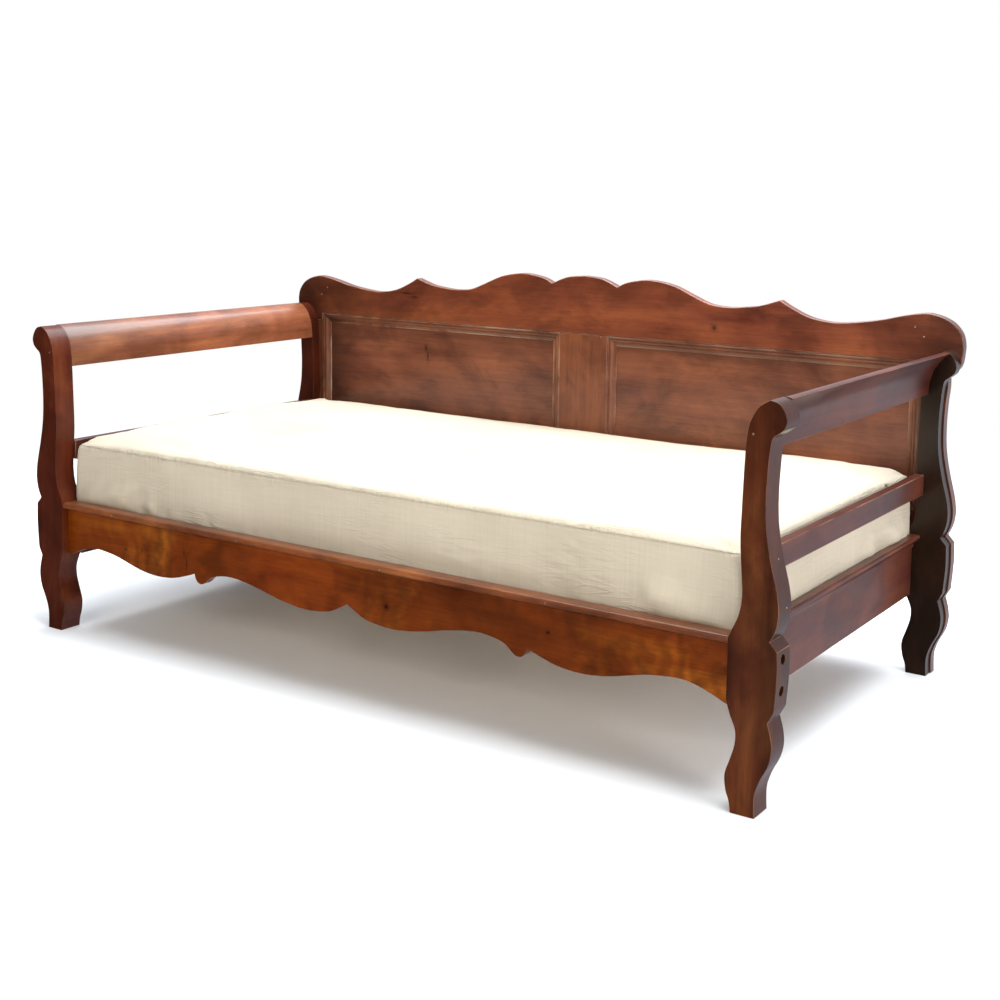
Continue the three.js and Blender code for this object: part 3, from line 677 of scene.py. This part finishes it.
def sack(low, high):
    """A block of even squares with its upright corners and its long edges rounded."""
    size = np.array(high) - np.array(low)
    counts = np.round(size / SPACING).astype(int)
    index, points, faces, cloth = {}, [], [], []

    def wall(fixed, at, first, second, turned):
        for a in range(counts[first]):
            for b in range(counts[second]):
                ring = []
                for da, db in ((0, 0), (1, 0), (1, 1), (0, 1)):
                    step = [0, 0, 0]
                    step[fixed], step[first], step[second] = at, a + da, b + db
                    if tuple(step) not in index:
                        index[tuple(step)] = len(points)
                        points.append(step)
                    ring.append(step)
                if turned:
                    ring.reverse()
                faces.append([index[tuple(step)] for step in ring])
                cloth.extend((step[first] * SPACING, step[second] * SPACING) for step in ring)

    wall(2, counts[2], 0, 1, False)
    wall(2, 0, 0, 1, True)
    wall(1, 0, 0, 2, False)
    wall(1, counts[1], 0, 2, True)
    wall(0, counts[0], 1, 2, False)
    wall(0, 0, 1, 2, True)

    place = np.array(points) / counts * size
    side = np.where(place < size / 2, -1, 1)
    across = np.minimum(place, size - place)
    edge = np.minimum(across[:, 0], across[:, 1])
    in_x, in_y = rounded_off(across[:, 0], across[:, 1], CORNER)
    edge_in, height_in = rounded_off(edge, across[:, 2], np.where(side[:, 2] < 0, LOW_ROLL, TOP_ROLL))
    shift = edge_in - edge
    outward = np.stack([np.maximum(CORNER - in_x, 0), np.maximum(CORNER - in_y, 0)], 1)
    flat = np.hypot(outward[:, 0], outward[:, 1]) < 1e-9
    outward[flat] = [0, 1]
    outward /= np.hypot(outward[:, 0], outward[:, 1])[:, None]
    place[:, 0] = in_x + shift * outward[:, 0]
    place[:, 1] = in_y + shift * outward[:, 1]
    place[:, 2] = height_in
    place = np.where(side < 0, place, size - place)
    mesh = bpy.data.meshes.new("mattress_cover")
    mesh.from_pydata((place + np.array(low)).tolist(), [], faces)
    mesh.uv_layers.new(name="cloth").data.foreach_set("uv", np.array(cloth, np.float32).ravel())
    return mesh


def points_of(mesh):
    flat = np.empty(len(mesh.vertices) * 3)
    mesh.vertices.foreach_get("co", flat)
    return flat.reshape(-1, 3)


def move_points(mesh, points):
    mesh.vertices.foreach_set("co", points.ravel())
    mesh.update()


RESTING_BAND = 0.004
CLOTH_STEPS = 20


def filled(mesh, most):
    """Blows the sewn cover up against its own slack cloth. No point moves more than most."""
    piece = bpy.data.objects.new("cover", mesh)
    bpy.context.collection.objects.link(piece)
    before = points_of(mesh)
    resting = piece.vertex_groups.new(name="resting")
    resting.add(np.nonzero(before[:, 2] < sack_low.z + RESTING_BAND)[0].tolist(), 1.0, "REPLACE")
    sewn = piece.modifiers.new("sewn", "CLOTH")
    sewn.settings.quality = 4
    sewn.settings.mass = 0.25
    sewn.settings.tension_stiffness = 15
    sewn.settings.compression_stiffness = 10
    sewn.settings.shear_stiffness = 5
    sewn.settings.bending_stiffness = 0.25
    sewn.settings.shrink_min = -0.05
    sewn.settings.use_pressure = True
    sewn.settings.uniform_pressure_force = 4
    sewn.settings.vertex_group_mass = "resting"
    sewn.settings.effector_weights.gravity = 0
    sewn.point_cache.frame_start, sewn.point_cache.frame_end = 1, CLOTH_STEPS
    for step in range(1, CLOTH_STEPS + 1):
        bpy.context.scene.frame_set(step)
    moved = points_of(plain_mesh(piece)) - before
    bpy.context.scene.frame_set(1)
    far = np.linalg.norm(moved, axis=1, keepdims=True)
    held = most * np.tanh(far / most) / np.maximum(far, 1e-9)
    move_points(mesh, before + moved * held)
    return mesh


def ridge(value):
    """Turns noise from -1 to 1 into narrow crests."""
    return max(0.0, 1 - abs(value) * 2.2) ** 2


SLUMP = 0.009
SLUMP_REACH = 0.10
GATHER_REACH = 0.030


def creased(mesh):
    """Slack cloth over firm filling: a soft unevenness, pulls below the top seam, creases,
    and corners where the filling has slumped."""
    pushed = points_of(mesh)
    corner = Vector((sack_high.x, (sack_high.y - sack_low.y) / 2))
    middle_y = (sack_high.y + sack_low.y) / 2
    for i, point in enumerate(mesh.vertices):
        x, y, z = point.co
        up = point.normal.z
        soft = 0.0022 * noise.noise((x * 3.1, y * 3.1, z * 5.0))
        soft += 0.0009 * noise.noise((x * 11, y * 11, z * 8.0))
        if abs(up) < 0.8:
            along = x + y
            below = max(0.0, sack_high.z - z)
            pulls = ridge(noise.noise((along * 34, z * 6, 2.0))) * math.exp(-below / GATHER_REACH)
            waves = ridge(noise.noise((along * 9, z * 62, 7.0)))
            where = max(0.0, noise.noise((along * 5.0, z * 9, 4.0)) - 0.05)
            soft += 0.0022 * pulls + 0.0080 * waves * where
        elif up > 0:
            lines = ridge(noise.noise((x * 7, y * 16, 3.0)))
            soft += 0.0035 * lines * max(0.0, noise.noise((x * 2.4, y * 2.4, 9.0)))
        pushed[i] += np.array(point.normal) * soft
        to_corner = (corner - Vector((abs(x), abs(y - middle_y)))).length
        height = (z - sack_low.z) / (sack_high.z - sack_low.z)
        pushed[i][2] -= SLUMP * height**2 * math.exp(-to_corner / SLUMP_REACH)
    move_points(mesh, pushed)
    return mesh


def pressed_in(mesh, neighbours, room):
    """Moves cloth that has reached a neighbour back until it just clears it."""
    wall = surface_of(neighbours)
    moved = points_of(mesh)
    for i, point in enumerate(mesh.vertices):
        hit, way, _, apart = wall.find_nearest(point.co, 0.03)
        if hit is None:
            continue
        inside = (point.co - hit).dot(way) < 0
        if inside or apart < room:
            moved[i] = hit + way * room
    move_points(mesh, moved)
    return mesh


FILLING_RISE = 0.005
MOST_FILLED = 0.009
inset = Vector((-0.002, 0.0015, 0.0))
cover = sack(sack_low + inset, sack_high - inset - Vector((0, 0, FILLING_RISE)))
cover = filled(cover, MOST_FILLED)
cover_piece = bpy.data.objects.new("cover", cover)
bpy.context.collection.objects.link(cover_piece)
finer = cover_piece.modifiers.new("finer", "SUBSURF")
finer.levels = finer.render_levels = 1
cover = creased(plain_mesh(cover_piece))
CLEARANCE = 0.0015
iron_or_itself = ("mattress", "bed_bolt", "bolt_nut", "back_screw")
beside = [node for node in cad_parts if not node.startswith(iron_or_itself)]
cover = pressed_in(cover, beside, CLEARANCE)
cover.shade_smooth()

cotton = bpy.data.materials.new("cotton_ticking")
cotton.use_nodes = True
cloth_tree = cotton.node_tree
cotton_shader = cloth_tree.nodes["Principled BSDF"]
threads = add_node(cloth_tree, "ShaderNodeUVMap", uv_map="cloth").outputs["UV"]
THREAD = 0.0009
WAVES_PER_SCALE = 20 / (2 * math.pi)


def thread_wave(direction):
    return add_node(
        cloth_tree, "ShaderNodeTexWave", {"Vector": threads, "Scale": 1 / (THREAD * WAVES_PER_SCALE)},
        wave_type="BANDS", bands_direction=direction,
    ).outputs["Fac"]


def slub(across_u, across_v, detail=4.0):
    stretch = add_node(cloth_tree, "ShaderNodeMapping", {"Vector": threads, "Scale": (across_u, across_v, 1)})
    return add_node(
        cloth_tree, "ShaderNodeTexNoise", {"Vector": stretch.outputs[0], "Scale": 1.0, "Detail": detail}
    ).outputs["Fac"]


weave = add_node(
    cloth_tree, "ShaderNodeMath", {0: thread_wave("X"), 1: thread_wave("Y")}, operation="MULTIPLY"
).outputs["Value"]
upright, level = slub(160, 7), slub(9, 190)
cloth_colour = ramp(
    cloth_tree, slub(3.0, 3.5), [(0.35, (0.435, 0.37, 0.275)), (0.65, (0.51, 0.44, 0.335))]
)
for slubs, darkest in ((upright, 0.84), (level, 0.86)):
    streaks = ramp(cloth_tree, slubs, [(0.3, darkest), (0.7, 1.04)])
    cloth_colour = mixed(cloth_tree, 0.3, cloth_colour, streaks, "MULTIPLY")
cloth_tree.links.new(cloth_colour, cotton_shader.inputs["Base Color"])
cotton_shader.inputs["Roughness"].default_value = 0.86
cotton_shader.inputs["Sheen Weight"].default_value = 0.1
cotton_shader.inputs["Specular IOR Level"].default_value = 0.2
woven = add_node(cloth_tree, "ShaderNodeBump", {"Height": weave, "Strength": 0.25, "Distance": 0.0003})
slubbed = add_node(
    cloth_tree, "ShaderNodeBump",
    {"Height": sum_of(cloth_tree, upright, level), "Normal": woven.outputs[0],
     "Strength": 0.35, "Distance": 0.0008},
)
fine_creases = ramp(cloth_tree, slub(16, 95, 0.0), [(0.42, 0.0), (0.52, 1.0), (0.62, 0.0)])
where_creased = ramp(cloth_tree, slub(3.5, 9.0, 1.0), [(0.50, 0.0), (0.62, 1.0)])
rumpled = add_node(
    cloth_tree, "ShaderNodeBump",
    {"Height": mixed(cloth_tree, 1.0, fine_creases, where_creased, "MULTIPLY"), "Normal": slubbed.outputs[0],
     "Strength": 0.6, "Distance": 0.0016},
)
height = add_node(
    cloth_tree, "ShaderNodeSeparateXYZ",
    {"Vector": add_node(cloth_tree, "ShaderNodeTexCoord").outputs["Object"]},
).outputs["Z"]
seam_band = ramp(
    cloth_tree,
    add_node(
        cloth_tree, "ShaderNodeMapRange",
        {"Value": height, "From Min": sack_high.z - 0.045, "From Max": sack_high.z},
    ).outputs["Result"],
    [(0.0, 0.0), (0.40, 0.5), (0.60, 1.0), (0.70, 0.0)],
)
gathers = ramp(cloth_tree, slub(75, 16, 1.0), [(0.36, 0.0), (0.52, 1.0), (0.68, 0.0)])
gathered = add_node(
    cloth_tree, "ShaderNodeBump",
    {"Height": mixed(cloth_tree, 1.0, gathers, seam_band, "MULTIPLY"), "Normal": rumpled.outputs[0],
     "Strength": 0.6, "Distance": 0.0022},
)
cloth_tree.links.new(gathered.outputs[0], cotton_shader.inputs["Normal"])

mattress = own_piece("mattress_cover", cover, cotton, "mattress", ["mattress"])


AIM_FROM = 0.05
CORD_LIFT = 0.0005


def seam_line(mesh, level, steps):
    """Points round the mattress where a line aimed at its edge from outside first meets it."""
    skin = BVHTree.FromPolygons([p.co for p in mesh.vertices], [list(f.vertices) for f in mesh.polygons])
    middle = (sack_low + sack_high) / 2
    half = (sack_high - sack_low) / 2
    straight = [(half.x - CORNER) * 2, (half.y - CORNER) * 2]
    around = 2 * sum(straight) + 2 * math.pi * CORNER
    line = []
    for step in range(steps):
        run = step / steps * around
        for quarter in range(4):
            length = straight[quarter % 2]
            turn = math.pi / 2 * quarter
            if run <= length:
                angle, slide = turn, run - length / 2
                break
            run -= length
            if run <= math.pi / 2 * CORNER:
                angle, slide = turn + run / CORNER, length / 2
                break
            run -= math.pi / 2 * CORNER
        # the straight's own directions: quarter 0 is the front, then right, rear and left
        along = Vector((math.cos(turn), math.sin(turn), 0))
        out = Vector((math.sin(turn), -math.cos(turn), 0))
        reach = (half.y if quarter % 2 == 0 else half.x) - CORNER
        corner = middle + along * slide + out * reach
        outward = Vector((math.sin(angle), -math.cos(angle), 0))
        at = Vector((corner.x, corner.y, level)) + outward * CORNER
        start = at + outward * AIM_FROM
        hit = skin.ray_cast(start, at - start)
        line.append(hit[0] + hit[1] * CORD_LIFT)
    return line


def welt(name, line, radius, sides=6):
    """A thin round cord of cloth laid along a closed line."""
    count = len(line)
    points, faces = [], []
    for i, here in enumerate(line):
        ahead = (line[(i + 1) % count] - line[i - 1]).normalized()
        across = ahead.cross(Vector((0, 0, 1))).normalized()
        over = across.cross(ahead)
        for j in range(sides):
            turn = 2 * math.pi * j / sides
            points.append(here + (across * math.cos(turn) + over * math.sin(turn)) * radius)
            ahead_row = (i + 1) % count * sides
            beside_j = (j + 1) % sides
            faces.append((i * sides + j, ahead_row + j, ahead_row + beside_j, i * sides + beside_j))
    mesh = bpy.data.meshes.new(name)
    mesh.from_pydata(points, [], faces)
    work = bmesh.new()
    work.from_mesh(mesh)
    bmesh.ops.recalc_face_normals(work, faces=work.faces)
    work.to_mesh(mesh)
    work.free()
    mesh.uv_layers.new(name="cloth")
    mesh.shade_smooth()
    return mesh


WELT_RADIUS = 0.0007
SEAM_STEPS = 620
SEAM_BELOW_TOP = 0.021
seam = seam_line(cover, sack_high.z - SEAM_BELOW_TOP, SEAM_STEPS)
own_piece("mattress_welt", welt("mattress_welt", seam, WELT_RADIUS), cotton, "mattress")

# ---- Stitching below the mattress seam ---------------------------------------------
# The seam allowance is held down by one row of machine stitches in thick pale thread, a few
# millimetres below the welt, all the way round the border.
stitch_geometry = bpy.data.node_groups.new("seam_stitches", "GeometryNodeTree")
stitch_geometry.interface.new_socket("Geometry", in_out="INPUT", socket_type="NodeSocketGeometry")
stitch_sockets = {}
for label, kind, value in (
    ("Spacing", "NodeSocketFloat", 0.0062), ("Length", "NodeSocketFloat", 0.0034),
    ("Thread radius", "NodeSocketFloat", 0.00035), ("Seed", "NodeSocketInt", 7),
    ("Thread finish", "NodeSocketMaterial", None),
):
    socket = stitch_geometry.interface.new_socket(label, in_out="INPUT", socket_type=kind)
    if value is not None:
        socket.default_value = value
    stitch_sockets[label] = socket.identifier
stitch_geometry.interface.new_socket("Geometry", in_out="OUTPUT", socket_type="NodeSocketGeometry")
told = add_node(stitch_geometry, "NodeGroupInput")
row = add_node(stitch_geometry, "GeometryNodeMeshToCurve", {"Mesh": told.outputs["Geometry"]})
even = add_node(
    stitch_geometry, "GeometryNodeCurveToPoints",
    {"Curve": row.outputs["Curve"], "Length": told.outputs["Spacing"]}, mode="LENGTH",
)
wobble = add_node(
    stitch_geometry, "FunctionNodeRandomValue",
    {"Min": (-0.0002, -0.0002, -0.0004), "Max": (0.0002, 0.0002, 0.0004), "Seed": told.outputs["Seed"]},
    data_type="FLOAT_VECTOR",
)
laid = add_node(
    stitch_geometry, "GeometryNodeSetPosition",
    {"Geometry": even.outputs["Points"], "Offset": wobble.outputs["Value"]},
)
thread = add_node(
    stitch_geometry, "GeometryNodeMeshCylinder",
    {"Vertices": 6, "Radius": told.outputs["Thread radius"], "Depth": told.outputs["Length"]},
)
sewn_row = add_node(
    stitch_geometry, "GeometryNodeInstanceOnPoints",
    {"Points": laid.outputs["Geometry"], "Instance": thread.outputs["Mesh"],
     "Rotation": even.outputs["Rotation"]},
)
one_mesh = add_node(stitch_geometry, "GeometryNodeRealizeInstances", {"Geometry": sewn_row.outputs[0]})
threaded = add_node(
    stitch_geometry, "GeometryNodeSetMaterial",
    {"Geometry": one_mesh.outputs[0], "Material": told.outputs["Thread finish"]},
)
add_node(stitch_geometry, "NodeGroupOutput", {"Geometry": threaded.outputs[0]})

thread_finish = bpy.data.materials.new("sewing_thread")
thread_finish.use_nodes = True
thread_shader = thread_finish.node_tree.nodes["Principled BSDF"]
thread_shader.inputs["Base Color"].default_value = (0.60, 0.54, 0.43, 1)
thread_shader.inputs["Roughness"].default_value = 0.7
STITCHES_BELOW_TOP = 0.026
line_below = seam_line(cover, sack_high.z - STITCHES_BELOW_TOP, SEAM_STEPS)
row_mesh = bpy.data.meshes.new("stitch_row")
row_mesh.from_pydata(line_below, [(i, (i + 1) % SEAM_STEPS) for i in range(SEAM_STEPS)], [])
row_piece = bpy.data.objects.new("stitch_row", row_mesh)
bpy.context.collection.objects.link(row_piece)
sewing = row_piece.modifiers.new("sewing", "NODES")
sewing.node_group = stitch_geometry
sewing[stitch_sockets["Thread finish"]] = thread_finish
own_piece("mattress_stitches", plain_mesh(row_piece), None, "mattress")
